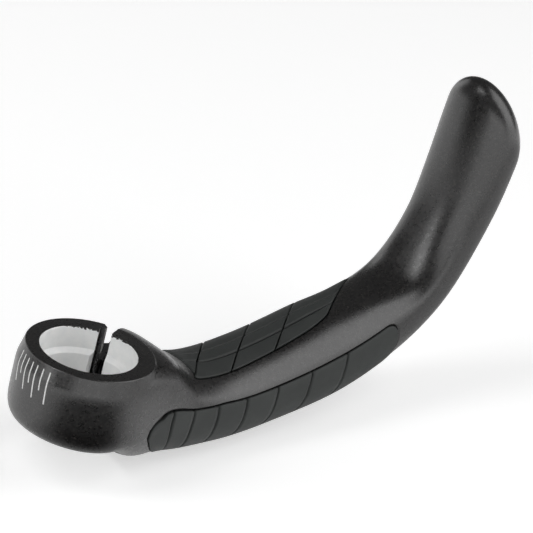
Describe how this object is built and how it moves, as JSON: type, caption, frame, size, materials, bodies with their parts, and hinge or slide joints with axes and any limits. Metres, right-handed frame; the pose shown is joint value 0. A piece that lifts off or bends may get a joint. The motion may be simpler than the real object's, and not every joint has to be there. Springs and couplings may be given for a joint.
{
  "type": "bicycle bar end",
  "caption": "Curved cast bar end with a split, bolted clamp for a handlebar and inset rubber grip pads on its palm and finger sides",
  "frame": {"origin": "on the axis of the handlebar bore, in the plane of the clamp's grip side face", "axes": "+Z runs along the bore towards the grip, +X is the way the arm leaves the clamp, -Y is the palm side and +Y the clamp bolt's side"},
  "size_m": [0.163, 0.035, 0.0907],
  "materials": {
    "black_paint": "satin black paint with a very fine grain",
    "grey_rubber": "matte dark grey rubber",
    "black_steel": "black oxide",
    "bright_steel": "zinc plated"
  },
  "bodies": {
    "root": {"arm_body": "black_paint", "palm_pad": "grey_rubber", "finger_pad": "grey_rubber", "clamp_bolt": "black_steel", "clamp_washer": "bright_steel"}
  },
  "joints": []
}
